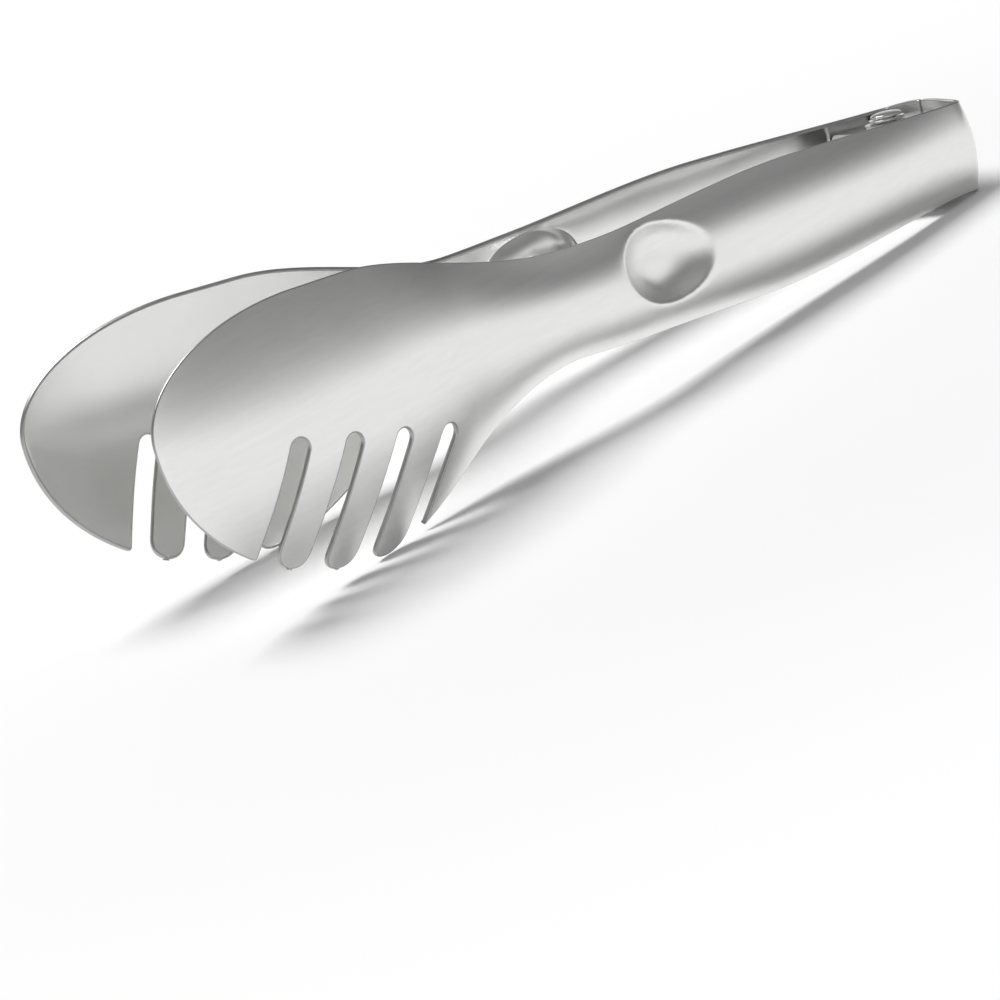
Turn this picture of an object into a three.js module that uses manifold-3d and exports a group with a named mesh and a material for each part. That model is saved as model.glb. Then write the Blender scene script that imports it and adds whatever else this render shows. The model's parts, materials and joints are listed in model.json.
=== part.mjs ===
// Spaghetti tongs: two pressed steel arms with slotted blades, on a sprung hinge near the end of the handle.
// Sizes are in millimetres. Each half is drawn closed, in the hinge's frame: the hinge axis is Z through the
// origin, the blades point to -X, and "out" is the distance from the mid-plane where the two blades meet.
import * as THREE from "three";
import { mergeVertices } from "three/addons/utils/BufferGeometryUtils.js";
import Module from "manifold-3d";

const wasm = await Module();
wasm.setup();

// Sheet, running clearance, and how far each arm stands open from the mid-plane at rest
const SHEET = 1.2;
const GAP = 0.3;
const OPEN_ANGLE = THREE.MathUtils.degToRad(7.5);

// Places along an arm, measured from the hinge axis towards the blade
const REAR_LENGTH = 11.6;
const GRIP_TOP_AT = 46;
const GRIP_BOTTOM_AT = 62;
const GRIP_CROWN_AT = 50;
const RIM_FALL_FROM = 95;
const BLADE_BOTTOM_FROM = 111;
const NECK_AT = 113;
const BLADE_RIM_FROM = 142;
const BLADE_TOP_AT = 165;
const BLADE_CROWN_AT = 168;
const BLADE_LOW_AT = 172;
const TIP_TOP_FROM = 178;
const TIP_LENGTH = 220.5;

// Heights of the two rims above and below the middle of the hinge
const END_TOP = 11.2;
const GRIP_TOP = 12.1;
const NECK_TOP = 7.7;
const BLADE_TOP = 17.1;
const TIP_HEIGHT = -5;
const END_BOTTOM = -9.8;
const GRIP_BOTTOM = -16.3;
const BLADE_BOTTOM = -42.3;

// How far the rims lie out from the mid-plane, and how far the middle of the sheet bulges past its rims
const END_RIM_OUT = 15.6;
const GRIP_RIM_OUT = 11;
const END_CROWN = 2.4;
const GRIP_CROWN = 6.5;
const NECK_CROWN = 6;
const BLADE_CROWN = 8.5;
const TIP_CROWN_POWER = 1.75;
const END_BEND_LENGTH = 5;
const END_BEND_WIDTH = 2.2;
const WALL_RISE = 1;

// How straight the blade's sides are above and below its ridge, how high the ridge lies as a share of the
// blade's height, and where it falls towards the tip
const BLADE_FOLD = 1.35;
const BLADE_RIDGE = 0.585;
const TIP_RIDGE = 0.51;
const RIDGE_FALL_FROM = 150;
const RIDGE_FALL_TO = 215;

// Thumb dimple pressed into the outside of the grip
const DIMPLE_AT = 89.2;
const DIMPLE_HEIGHT = -1.4;
const DIMPLE_LENGTH = 24.2;
const DIMPLE_WIDTH = 17.2;
const DIMPLE_DEPTH = 6;
const DIMPLE_POWER = 3;
const DIMPLE_SOFTNESS = 1.2;

// Slots that divide the lower edge of a blade into tines
const SLOT_COUNT = 4;
const SLOT_WIDTH = 4.4;
const SLOT_PITCH = 13.3;
const SLOT_STEP_DOWN = 2.8;
const SLOT_LEAN = THREE.MathUtils.degToRad(25.7);
const SLOT_FAN = THREE.MathUtils.degToRad(2.1);
const FIRST_SLOT_AT = 189.7;
const FIRST_SLOT_TOP = -11.6;
const TINE_ROUNDING = 4;
const TINE_CORNER = 0.5;

// Hinge: two bent brackets, a headed pin with its ring and washers, a sleeve and a torsion spring
const BRACKET_SHEET = 1.2;
const EAR_SETBACK = 1.5;
const EAR_FRONT = 6.5;
const EAR_REAR = 9.5;
const EAR_RADIUS = 5;
const SADDLE_REAR = 4.5;
const PIN_DIAMETER = 4;
const HEAD_DIAMETER = 7.3;
const HEAD_HEIGHT = 1.2;
const HEAD_EDGE = 0.4;
const RING_DIAMETER = 6.6;
const RING_HEIGHT = 1;
const WASHER_DIAMETER = 8.4;
const WASHER_THICKNESS = 0.5;
const SLEEVE_WALL = 0.6;
const WIRE = 1.4;
const COIL_CLEARANCE = 0.5;
const COIL_TURNS = 5;
const LEG_ANGLE = THREE.MathUtils.degToRad(62);

// Fineness of the facets
const SECTION_STEPS = 20;
const BEND_STEPS = 3;
const WALL_STEPS = 5;
const TIP_STEPS = 9;
const TIP_LAST_STEP = 0.3;
const ROUND_STEPS = 24;
const SLOT_END_STEPS = 6;
const DOME_STEPS = 3;
const COIL_STEPS = 8;
const WIRE_SIDES = 5;
const GRIP_STEP = 6;
const DIMPLE_STEP = 1.9;
const DIMPLE_MARGIN = 5;
const BLADE_STEP = 4.4;

// Exactness of the worked-out points
const MERGE_DISTANCE = 1e-4;
const BISECTIONS = 40;
const SLOPE_STEP = 0.3;

const STEEL = { color: 0xc9cac8, metalness: 1, roughness: 0.3 };
const WIRE_STEEL = { color: 0xa9abad, metalness: 1, roughness: 0.35 };

// A value that passes smoothly through its knots, each a place along the arm and the value there
function through(knots) {
  return (place) => {
    const next = knots.findIndex(([at]) => at >= place);
    if (next === 0) return knots[0][1];
    if (next < 0) return knots.at(-1)[1];
    const [from, before] = knots[next - 1];
    const [to, after] = knots[next];
    return THREE.MathUtils.lerp(before, after, THREE.MathUtils.smoothstep(place, from, to));
  };
}

// The share of a quarter ellipse's height that is left at a place between its start and its end
function quarterRound(place, start, end) {
  const share = THREE.MathUtils.clamp((place - start) / (end - start), 0, 1);
  return Math.sqrt(1 - share * share);
}

const handleTop = through([
  [-REAR_LENGTH, END_TOP],
  [GRIP_TOP_AT, GRIP_TOP],
  [NECK_AT, NECK_TOP],
  [BLADE_TOP_AT, BLADE_TOP],
]);
const handleBottom = through([
  [-REAR_LENGTH, END_BOTTOM],
  [GRIP_BOTTOM_AT, GRIP_BOTTOM],
  [BLADE_BOTTOM_FROM, GRIP_BOTTOM],
  [BLADE_LOW_AT, BLADE_BOTTOM],
]);
const rimOut = through([
  [0, END_RIM_OUT],
  [RIM_FALL_FROM, GRIP_RIM_OUT],
  [BLADE_RIM_FROM, SHEET + GAP / 2],
]);
const fullCrown = through([
  [-REAR_LENGTH, END_CROWN],
  [GRIP_CROWN_AT, GRIP_CROWN],
  [NECK_AT, NECK_CROWN],
  [BLADE_CROWN_AT, BLADE_CROWN],
]);

function topRim(place) {
  return TIP_HEIGHT + (handleTop(place) - TIP_HEIGHT) * quarterRound(place, TIP_TOP_FROM, TIP_LENGTH);
}

function bottomRim(place) {
  return TIP_HEIGHT + (handleBottom(place) - TIP_HEIGHT) * quarterRound(place, BLADE_LOW_AT, TIP_LENGTH);
}

// The circular arc across the arm at one place: its rims' middle height, half height, radius and centre
function arcAt(place) {
  const top = topRim(place);
  const bottom = bottomRim(place);
  const half = (top - bottom) / 2;
  const narrowing = (top - bottom) / (handleTop(place) - handleBottom(place));
  const crown = fullCrown(place) * narrowing ** TIP_CROWN_POWER;
  const angle = 2 * Math.atan2(crown, half);
  const radius = half / Math.sin(angle);
  return { middle: (top + bottom) / 2, half, crown, angle, radius, centre: rimOut(place) + crown - radius };
}

// How far out the outside of an arm lies: a round arc along the handle, which opens out over the neck into
// the blade's section, with straighter sides above and below a soft ridge
function outside(place, height) {
  const arc = arcAt(place);
  const offset = height - arc.middle;
  const round = arc.centre + Math.sqrt(arc.radius ** 2 - offset ** 2);
  const fall = THREE.MathUtils.smoothstep(place, RIDGE_FALL_FROM, RIDGE_FALL_TO);
  const ridge = arc.half * (2 * THREE.MathUtils.lerp(BLADE_RIDGE, TIP_RIDGE, fall) - 1);
  const reach = offset > ridge ? arc.half - ridge : arc.half + ridge;
  const fold = (share) => Math.hypot(1, BLADE_FOLD * share) - 1;
  const folded = rimOut(place) + arc.crown * (1 - fold((offset - ridge) / reach) / fold(1));
  return THREE.MathUtils.lerp(round, folded, THREE.MathUtils.smoothstep(place, NECK_AT, BLADE_TOP_AT));
}

function dimpleDepth(place, height) {
  const along = (2 * (place - DIMPLE_AT)) / DIMPLE_LENGTH;
  const across = (2 * (height - DIMPLE_HEIGHT)) / DIMPLE_WIDTH;
  const bowl = DIMPLE_DEPTH * (1 - Math.hypot(along, across) ** DIMPLE_POWER);
  return (bowl + Math.hypot(bowl, DIMPLE_SOFTNESS)) / 2;
}

// One row of points across the outside of an arm, from the bottom rim to the top rim
function sectionRow(place) {
  const arc = arcAt(place);
  return Array.from({ length: SECTION_STEPS + 1 }, (_, step) => {
    const turn = arc.angle * ((2 * step) / SECTION_STEPS - 1);
    const height = arc.middle + arc.radius * Math.sin(turn);
    return new THREE.Vector3(-place, outside(place, height) - dimpleDepth(place, height), height);
  });
}

// A point on the handle's end face. The face is square to the mid-plane when the arm stands open.
function endFacePoint(outWhenOpen, height) {
  const point = new THREE.Vector3(REAR_LENGTH, outWhenOpen, height);
  return point.applyAxisAngle(new THREE.Vector3(0, 0, 1), OPEN_ANGLE);
}

// The end of the handle turns in through a bend that tightens, and runs on as a flat wall to the mid-plane,
// with an arched upper edge
function endRows(lastRow) {
  const low = lastRow[0].z;
  const high = lastRow.at(-1).z;
  const bends = lastRow.map((start) => {
    const outWhenOpen = (start.y - REAR_LENGTH * Math.sin(OPEN_ANGLE)) / Math.cos(OPEN_ANGLE);
    const corner = endFacePoint(outWhenOpen, start.z);
    const end = endFacePoint(outWhenOpen - END_BEND_WIDTH, start.z);
    return new THREE.QuadraticBezierCurve3(start, corner, end);
  });
  const rows = [];
  for (let step = 1; step <= BEND_STEPS; step++) {
    rows.push(bends.map((bend) => bend.getPoint(step / BEND_STEPS)));
  }
  for (let step = 1; step <= WALL_STEPS; step++) {
    const share = step / WALL_STEPS;
    const arch = (WALL_RISE * Math.sin((Math.PI / 2) * share)) / (high - low);
    rows.push(
      bends.map((bend) => {
        const edge = endFacePoint(GAP / 2, bend.v2.z);
        const point = bend.v2.clone().lerp(edge, share);
        return point.setZ(point.z + arch * (point.z - low));
      }),
    );
  }
  return rows;
}

// Evenly spaced places between two ends, the first included, no further apart than a step
function spaced(from, to, step) {
  const count = Math.ceil(Math.abs(to - from) / step);
  return Array.from({ length: count }, (_, index) => from + ((to - from) * index) / count);
}

function armPlaces() {
  const roundFrom = Math.min(BLADE_LOW_AT, TIP_TOP_FROM);
  const tip = Array.from({ length: TIP_STEPS }, (_, step) => {
    const turn = ((TIP_STEPS - 1 - step + TIP_LAST_STEP) / TIP_STEPS) * (Math.PI / 2);
    return roundFrom + (TIP_LENGTH - roundFrom) * Math.sin(turn);
  });
  const bendFrom = END_BEND_LENGTH - endFacePoint(END_RIM_OUT, 0).x;
  const fineReach = DIMPLE_LENGTH / 2 + DIMPLE_MARGIN;
  return [
    ...tip,
    ...spaced(roundFrom, DIMPLE_AT + fineReach, BLADE_STEP),
    ...spaced(DIMPLE_AT + fineReach, DIMPLE_AT - fineReach, DIMPLE_STEP),
    ...spaced(DIMPLE_AT - fineReach, bendFrom, GRIP_STEP),
    bendFrom,
  ];
}

// The unit normal at each point of a grid of rows, from the neighbours on either side
function gridNormals(rows) {
  return rows.map((row, r) =>
    row.map((_, c) => {
      const after = rows[Math.min(r + 1, rows.length - 1)][c];
      const before = rows[Math.max(r - 1, 0)][c];
      const above = row[Math.min(c + 1, row.length - 1)];
      const below = row[Math.max(c - 1, 0)];
      const along = after.clone().sub(before);
      const across = above.clone().sub(below);
      return across.cross(along).normalize();
    }),
  );
}

// A closed surface through rings of points, with its two ends covered
function loft(rings) {
  const size = rings[0].length;
  const faces = [];
  const quad = (a, b, c, d) => faces.push(a, b, c, a, c, d);
  for (let ring = 0; ring + 1 < rings.length; ring++) {
    for (let i = 0; i < size; i++) {
      const j = (i + 1) % size;
      quad(ring * size + i, ring * size + j, (ring + 1) * size + j, (ring + 1) * size + i);
    }
  }
  const last = (rings.length - 1) * size;
  for (let i = 0; i + 1 < size - 1 - i; i++) {
    const j = size - 1 - i;
    quad(i, j, j - 1, i + 1);
    quad(last + i, last + i + 1, last + j - 1, last + j);
  }
  const numbers = rings.flat().flatMap((point) => point.toArray());
  const geometry = new THREE.BufferGeometry();
  geometry.setAttribute("position", new THREE.Float32BufferAttribute(numbers, 3));
  return geometry.setIndex(faces);
}

// A sheet of even thickness behind a grid of rows
function sheetBehind(rows, thickness) {
  const normals = gridNormals(rows);
  return loft(
    rows.map((row, r) => {
      const back = row.map((point, c) => point.clone().addScaledVector(normals[r][c], -thickness));
      return [...row, ...back.reverse()];
    }),
  );
}

// A geometry as a solid for joining and cutting, with its faces pointing out
function solid(geometry) {
  const bare = new THREE.BufferGeometry();
  bare.setAttribute("position", geometry.getAttribute("position").clone());
  bare.setIndex(geometry.index);
  const merged = mergeVertices(bare, MERGE_DISTANCE);
  const corners = [...merged.index.array];
  const faces = [];
  for (let i = 0; i < corners.length; i += 3) {
    const face = corners.slice(i, i + 3);
    if (new Set(face).size === 3) faces.push(...face);
  }
  const mesh = { numProp: 3, vertProperties: merged.attributes.position.array };
  const made = new wasm.Manifold(new wasm.Mesh({ ...mesh, triVerts: new Uint32Array(faces) }));
  if (made.volume() > 0) return made;
  return new wasm.Manifold(new wasm.Mesh({ ...mesh, triVerts: new Uint32Array(faces.reverse()) }));
}

function geometryOf(body) {
  const mesh = body.getMesh();
  const geometry = new THREE.BufferGeometry();
  geometry.setAttribute("position", new THREE.BufferAttribute(mesh.vertProperties, 3));
  geometry.setIndex(new THREE.BufferAttribute(mesh.triVerts, 1));
  const separate = geometry.toNonIndexed();
  separate.computeVertexNormals();
  return separate;
}

// A prism of a shape drawn along the arm and up, long enough to cut through a whole arm
function cutterThrough(shape) {
  const depth = 2 * (END_RIM_OUT + GRIP_CROWN + BLADE_CROWN);
  const options = { depth, bevelEnabled: false, curveSegments: SLOT_END_STEPS };
  const prism = new THREE.ExtrudeGeometry(shape, options);
  prism.rotateX(Math.PI / 2);
  prism.translate(0, depth / 2, 0);
  return solid(prism);
}

// Where one side of a slot runs out through the blade's lower edge, and the edge's direction there
function slotMouth(start, down) {
  let near = 0;
  let far = BLADE_TOP - BLADE_BOTTOM;
  for (let halving = 0; halving < BISECTIONS; halving++) {
    const middle = (near + far) / 2;
    const point = start.clone().addScaledVector(down, middle);
    if (point.y > bottomRim(-point.x)) near = middle;
    else far = middle;
  }
  const corner = start.clone().addScaledVector(down, near);
  const edge = new THREE.Vector2(SLOPE_STEP, bottomRim(-corner.x - SLOPE_STEP) - corner.y).normalize();
  return { corner, edge };
}

// One slot: a round top, straight sides, and a mouth that rounds the tines on either side of it
function slotShape(index) {
  const radius = SLOT_WIDTH / 2;
  const lean = SLOT_LEAN + index * SLOT_FAN;
  const down = new THREE.Vector2(-Math.sin(lean), -Math.cos(lean));
  const across = new THREE.Vector2(Math.cos(lean), -Math.sin(lean));
  const top = new THREE.Vector2(-FIRST_SLOT_AT + index * SLOT_PITCH, FIRST_SLOT_TOP - index * SLOT_STEP_DOWN);
  const centre = top.clone().addScaledVector(down, radius);
  const shape = new THREE.Shape();
  const sides = [-1, 1].map((side) => {
    const start = centre.clone().addScaledVector(across, side * radius);
    const { corner, edge } = slotMouth(start, down);
    const isOuterTine = side < 0 ? index === 0 : index === SLOT_COUNT - 1;
    const rounding = isOuterTine ? TINE_CORNER : TINE_ROUNDING;
    const onSide = corner.clone().addScaledVector(down, -rounding);
    const onEdge = corner.clone().addScaledVector(edge, side * rounding);
    const below = onEdge.clone().addScaledVector(down, BLADE_TOP);
    return { corner, onSide, onEdge, below };
  });
  const [left, right] = sides;
  shape.moveTo(left.below.x, left.below.y);
  shape.lineTo(left.onEdge.x, left.onEdge.y);
  shape.quadraticCurveTo(left.corner.x, left.corner.y, left.onSide.x, left.onSide.y);
  shape.absarc(centre.x, centre.y, radius, Math.PI - lean, -lean, true);
  shape.lineTo(right.onSide.x, right.onSide.y);
  shape.quadraticCurveTo(right.corner.x, right.corner.y, right.onEdge.x, right.onEdge.y);
  shape.lineTo(right.below.x, right.below.y);
  return shape;
}

function arm() {
  const rows = armPlaces().map(sectionRow);
  rows.push(...endRows(rows.at(-1)));
  let body = solid(sheetBehind(rows, SHEET));
  for (let index = 0; index < SLOT_COUNT; index++) {
    body = body.subtract(cutterThrough(slotShape(index)));
  }
  return geometryOf(body);
}

// Heights of the hinge's parts, measured from the middle of the handle at the hinge axis
const HINGE_MIDDLE = (topRim(0) + bottomRim(0)) / 2;
const OUTER_EAR = (topRim(0) - bottomRim(0)) / 2 - EAR_SETBACK;
const INNER_EAR = OUTER_EAR - BRACKET_SHEET - GAP;
const SPRING_ROOM = INNER_EAR - BRACKET_SHEET;
const WASHER_SEAT = OUTER_EAR + GAP;
const HEAD_SEAT = WASHER_SEAT + WASHER_THICKNESS + GAP;
const PIN_RADIUS = PIN_DIAMETER / 2;
const BORE_RADIUS = PIN_RADIUS + GAP;

// How far out a layer behind the arm's sheet lies at a place and a height above the hinge's middle
function behindSheet(place, height, depth) {
  const arc = arcAt(place);
  const offset = height + HINGE_MIDDLE - arc.middle;
  return arc.centre + Math.sqrt((arc.radius - SHEET - depth) ** 2 - offset * offset);
}

function zCylinder(radius, from, to) {
  const cylinder = new THREE.CylinderGeometry(radius, radius, to - from, ROUND_STEPS);
  cylinder.rotateX(Math.PI / 2);
  cylinder.translate(0, 0, (from + to) / 2);
  return cylinder;
}

// The flat ear of a bracket: from the saddle across the pin, with a tongue towards the handle's end
function earShape(height) {
  const seat = (place) => {
    const inside = behindSheet(place, height - BRACKET_SHEET, GAP + BRACKET_SHEET);
    const outside = behindSheet(place, height, GAP);
    return (inside + outside) / 2;
  };
  const shape = new THREE.Shape();
  shape.moveTo(-EAR_FRONT, seat(EAR_FRONT));
  shape.lineTo(-EAR_FRONT, EAR_RADIUS);
  shape.quadraticCurveTo(-EAR_FRONT, -EAR_RADIUS, 0, -EAR_RADIUS);
  shape.quadraticCurveTo(EAR_REAR, -EAR_RADIUS, EAR_REAR, EAR_RADIUS);
  shape.lineTo(SADDLE_REAR, seat(-SADDLE_REAR));
  return shape;
}

// A bracket: a saddle that follows the inside of the arm, with an ear above and below the spring
function bracket(earHeight) {
  const places = [EAR_FRONT, EAR_FRONT / 2, 0, -SADDLE_REAR];
  const rows = places.map((place) =>
    Array.from({ length: SECTION_STEPS + 1 }, (_, step) => {
      const height = earHeight * ((2 * step) / SECTION_STEPS - 1);
      return new THREE.Vector3(-place, behindSheet(place, height, GAP), height + HINGE_MIDDLE);
    }),
  );
  let body = solid(sheetBehind(rows, BRACKET_SHEET));
  const plate = { depth: BRACKET_SHEET, bevelEnabled: false, curveSegments: ROUND_STEPS / 3 };
  for (const foot of [earHeight - BRACKET_SHEET, -earHeight]) {
    const ear = new THREE.ExtrudeGeometry(earShape(earHeight), plate);
    ear.translate(0, 0, foot + HINGE_MIDDLE);
    body = body.add(solid(ear));
  }
  const bore = zCylinder(BORE_RADIUS, HINGE_MIDDLE - HEAD_SEAT, HINGE_MIDDLE + HEAD_SEAT);
  return geometryOf(body.subtract(solid(bore)));
}

// A body turned about the hinge axis, from the radius and height of each corner of its half section
function turned(corners) {
  const profile = corners.map(([radius, height]) => new THREE.Vector2(radius, height));
  const body = new THREE.LatheGeometry(profile, ROUND_STEPS);
  body.rotateX(Math.PI / 2);
  body.translate(0, 0, HINGE_MIDDLE);
  return geometryOf(solid(body));
}

// A ring about the hinge axis
function ring(innerRadius, outerRadius, from, to) {
  return turned([
    [innerRadius, from],
    [outerRadius, from],
    [outerRadius, to],
    [innerRadius, to],
    [innerRadius, from],
  ]);
}

// The pin: a straight shank with a domed head above and a slightly rounded end below
function hingePin() {
  const headRadius = HEAD_DIAMETER / 2;
  const foot = -HEAD_SEAT - RING_HEIGHT - GAP;
  const dome = Array.from({ length: DOME_STEPS + 1 }, (_, step) => {
    const turn = (step / DOME_STEPS) * (Math.PI / 2);
    const height = HEAD_SEAT + HEAD_EDGE + (HEAD_HEIGHT - HEAD_EDGE) * Math.sin(turn);
    return [headRadius * Math.cos(turn), height];
  });
  return turned([
    [0, foot],
    [PIN_RADIUS - GAP, foot],
    [PIN_RADIUS, foot + GAP],
    [PIN_RADIUS, HEAD_SEAT],
    [headRadius, HEAD_SEAT],
    ...dome,
  ]);
}

const SLEEVE_RADIUS = BORE_RADIUS + SLEEVE_WALL;
const COIL_RADIUS = (SLEEVE_RADIUS + COIL_CLEARANCE + WIRE / 2) / Math.cos(Math.PI / COIL_STEPS);
const COIL_ANGLE = 2 * Math.PI * COIL_TURNS + Math.PI - 2 * LEG_ANGLE;
const COIL_CLIMB = 2 * (SPRING_ROOM - GAP) - WIRE;

// A leg's length: from the coil until the wire's side comes to the saddle, by its own turn from the arm
function legLength() {
  const turn = LEG_ANGLE - OPEN_ANGLE;
  const saddle = behindSheet(EAR_FRONT, COIL_CLIMB / 2, GAP + BRACKET_SHEET);
  const wireSide = (WIRE / 2) * Math.cos(turn);
  return (saddle - GAP - wireSide - COIL_RADIUS * Math.cos(turn)) / Math.sin(turn);
}

// The wire's centre line: in along the front leg, up round the coil and out along the rear leg
function springPath() {
  const start = LEG_ANGLE - Math.PI / 2;
  const steps = Math.round((COIL_ANGLE / (2 * Math.PI)) * COIL_STEPS);
  const coil = Array.from({ length: steps + 1 }, (_, step) => {
    const share = step / steps;
    const turn = start + COIL_ANGLE * share;
    const height = HINGE_MIDDLE + COIL_CLIMB * (share - 0.5);
    return new THREE.Vector3(COIL_RADIUS * Math.cos(turn), COIL_RADIUS * Math.sin(turn), height);
  });
  const leg = (from, side) => {
    const away = new THREE.Vector3(-Math.cos(LEG_ANGLE), side * Math.sin(LEG_ANGLE), 0);
    return [legLength(), legLength() - WIRE].map((far) => from.clone().addScaledVector(away, far));
  };
  return [...leg(coil[0], -1), ...coil, ...leg(coil.at(-1), 1).reverse()];
}

function torsionSpring() {
  const path = springPath();
  const up = new THREE.Vector3(0, 0, 1);
  const rings = path.map((point, index) => {
    const before = path[Math.max(index - 1, 0)];
    const after = path[Math.min(index + 1, path.length - 1)];
    const side = after.clone().sub(before).cross(up).normalize();
    return Array.from({ length: WIRE_SIDES }, (_, corner) => {
      const turn = (2 * Math.PI * corner) / WIRE_SIDES;
      const offset = side.clone().multiplyScalar(Math.cos(turn)).addScaledVector(up, Math.sin(turn));
      return point.clone().addScaledVector(offset, WIRE / 2);
    });
  });
  return geometryOf(solid(loft(rings)));
}

// The least clear space between one turn of the wire and the next, on the points of its centre line
function leastCoilGap() {
  const path = springPath();
  let least = Infinity;
  path.forEach((point, index) => {
    for (const other of path.slice(index + COIL_STEPS / 2)) {
      least = Math.min(least, point.distanceTo(other) - WIRE);
    }
  });
  return least;
}

function named(name, geometry, look) {
  const mesh = new THREE.Mesh(geometry, new THREE.MeshStandardMaterial(look));
  mesh.name = name;
  return mesh;
}

// One half of the tongs, on its own side of the mid-plane and standing open about the hinge axis
function openHalf(side, armName, bracketName, earHeight) {
  const group = new THREE.Group();
  for (const [name, geometry] of [
    [armName, arm()],
    [bracketName, bracket(earHeight)],
  ]) {
    group.add(named(name, geometryOf(solid(geometry.scale(1, side, 1))), STEEL));
  }
  group.rotation.z = -side * OPEN_ANGLE;
  return group;
}

function hingeGroup() {
  const group = new THREE.Group();
  const washerRadius = WASHER_DIAMETER / 2;
  const washerTop = WASHER_SEAT + WASHER_THICKNESS;
  const ringFoot = -HEAD_SEAT - RING_HEIGHT;
  const sleeveEnd = SPRING_ROOM - GAP;
  group.add(named("hinge_pin", hingePin(), STEEL));
  group.add(named("retaining_ring", ring(BORE_RADIUS, RING_DIAMETER / 2, ringFoot, -HEAD_SEAT), STEEL));
  group.add(named("upper_washer", ring(BORE_RADIUS, washerRadius, WASHER_SEAT, washerTop), STEEL));
  group.add(named("lower_washer", ring(BORE_RADIUS, washerRadius, -washerTop, -WASHER_SEAT), STEEL));
  group.add(named("spring_sleeve", ring(BORE_RADIUS, SLEEVE_RADIUS, -sleeveEnd, sleeveEnd), STEEL));
  group.add(named("torsion_spring", torsionSpring(), WIRE_STEEL));
  return group;
}

// Lays the tongs on the tips of their tines and the lower corner of the handle's end, with the middle of
// their footprint over the origin
function layDown(tongs) {
  tongs.updateMatrixWorld(true);
  const corner = new THREE.Vector3(REAR_LENGTH, 0, bottomRim(-REAR_LENGTH));
  const vertex = new THREE.Vector3();
  let pitch = 0;
  tongs.traverse((object) => {
    if (!object.isMesh) return;
    const points = object.geometry.getAttribute("position");
    for (let i = 0; i < points.count; i++) {
      vertex.fromBufferAttribute(points, i).applyMatrix4(object.matrixWorld);
      if (vertex.x < -NECK_AT) pitch = Math.max(pitch, Math.atan2(corner.z - vertex.z, corner.x - vertex.x));
    }
  });
  tongs.rotation.y = pitch;
  tongs.updateMatrixWorld(true);
  const box = new THREE.Box3().setFromObject(tongs, true);
  const middle = box.getCenter(new THREE.Vector3());
  tongs.position.set(-middle.x, -middle.y, -box.min.z);
}

const tongs = new THREE.Group();
tongs.add(openHalf(-1, "front_arm", "front_bracket", OUTER_EAR));
tongs.add(openHalf(1, "rear_arm", "rear_bracket", INNER_EAR));
tongs.add(hingeGroup());
layDown(tongs);
console.log("least gap between turns of the spring: " + leastCoilGap().toFixed(2) + " mm");

export default tongs;
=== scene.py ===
import json
import math

import bpy
import numpy as np
from mathutils import Matrix, Vector
from mathutils.geometry import delaunay_2d_cdt


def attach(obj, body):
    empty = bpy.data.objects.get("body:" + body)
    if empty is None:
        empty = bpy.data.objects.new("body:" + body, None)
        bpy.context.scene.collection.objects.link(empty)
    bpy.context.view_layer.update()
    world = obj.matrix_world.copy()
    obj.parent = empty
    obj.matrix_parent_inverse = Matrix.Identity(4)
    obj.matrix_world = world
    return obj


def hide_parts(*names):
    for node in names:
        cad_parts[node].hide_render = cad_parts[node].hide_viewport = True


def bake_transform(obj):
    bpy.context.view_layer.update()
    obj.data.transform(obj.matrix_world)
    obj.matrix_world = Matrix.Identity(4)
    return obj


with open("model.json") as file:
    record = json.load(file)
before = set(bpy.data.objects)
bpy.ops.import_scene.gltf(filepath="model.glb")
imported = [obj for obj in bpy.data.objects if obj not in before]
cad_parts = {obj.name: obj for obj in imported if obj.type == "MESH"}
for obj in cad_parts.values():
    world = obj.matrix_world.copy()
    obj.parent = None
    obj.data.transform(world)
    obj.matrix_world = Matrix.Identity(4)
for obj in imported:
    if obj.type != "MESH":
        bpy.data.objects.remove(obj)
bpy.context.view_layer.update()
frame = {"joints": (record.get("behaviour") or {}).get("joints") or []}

# Spaghetti tongs: two pressed steel arms on a sprung hinge. Sizes are in millimetres, as in the solids, and
# MM turns them into the scene's metres. Each half is drawn closed in the hinge's frame: the hinge axis is Z,
# the blades point to -X, "place" is the distance from the axis towards the blade and "out" is the distance
# from the mid-plane.
MM = 0.001

# Sheet, clearance, and how far each arm stands open at rest
SHEET = 1.2
GAP = 0.3
OPEN_ANGLE = math.radians(7.5)
EDGE_ROUND = 0.42

# Knots along an arm, each a place and the value there
TOP_KNOTS = ((-11.6, 11.2), (46, 12.1), (113, 7.7), (165, 17.1))
BOTTOM_KNOTS = ((-11.6, -9.8), (62, -16.3), (111, -16.3), (172, -42.3))
RIM_OUT_KNOTS = ((0, 15.6), (95, 11), (142, SHEET + GAP / 2))
CROWN_KNOTS = ((-11.6, 2.4), (50, 6.5), (113, 6), (168, 8.46))
BLADE_FROM = 113
BLADE_FULL_AT = 165
BLADE_FOLD = 1.35
BLADE_RIDGE = 0.585
TIP_RIDGE = 0.51
RIDGE_FALL_FROM = 150
RIDGE_FALL_TO = 215
TIP_TOP_FROM = 178
TIP_BOTTOM_FROM = 172
TIP_LENGTH = 220.3
TIP_HEIGHT = -5
TIP_CROWN_POWER = 1.75
LEAST_NARROWING = 1e-3

# The handle's turned-in end
REAR_LENGTH = 11.6
END_RIM_OUT = 15.6
END_BEND_LENGTH = 5
END_BEND_WIDTH = 2.2
BEND_SPAN = 6
WALL_SPAN = 15
WALL_CORNER = 1.2
WALL_RISE = 1

# Thumb dimple
DIMPLE_AT = 89.2
DIMPLE_HEIGHT = -1.4
DIMPLE_LENGTH = 24.2
DIMPLE_WIDTH = 17.2
DIMPLE_DEPTH = 6
DIMPLE_POWER = 3
DIMPLE_SOFTNESS = 1.2

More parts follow.
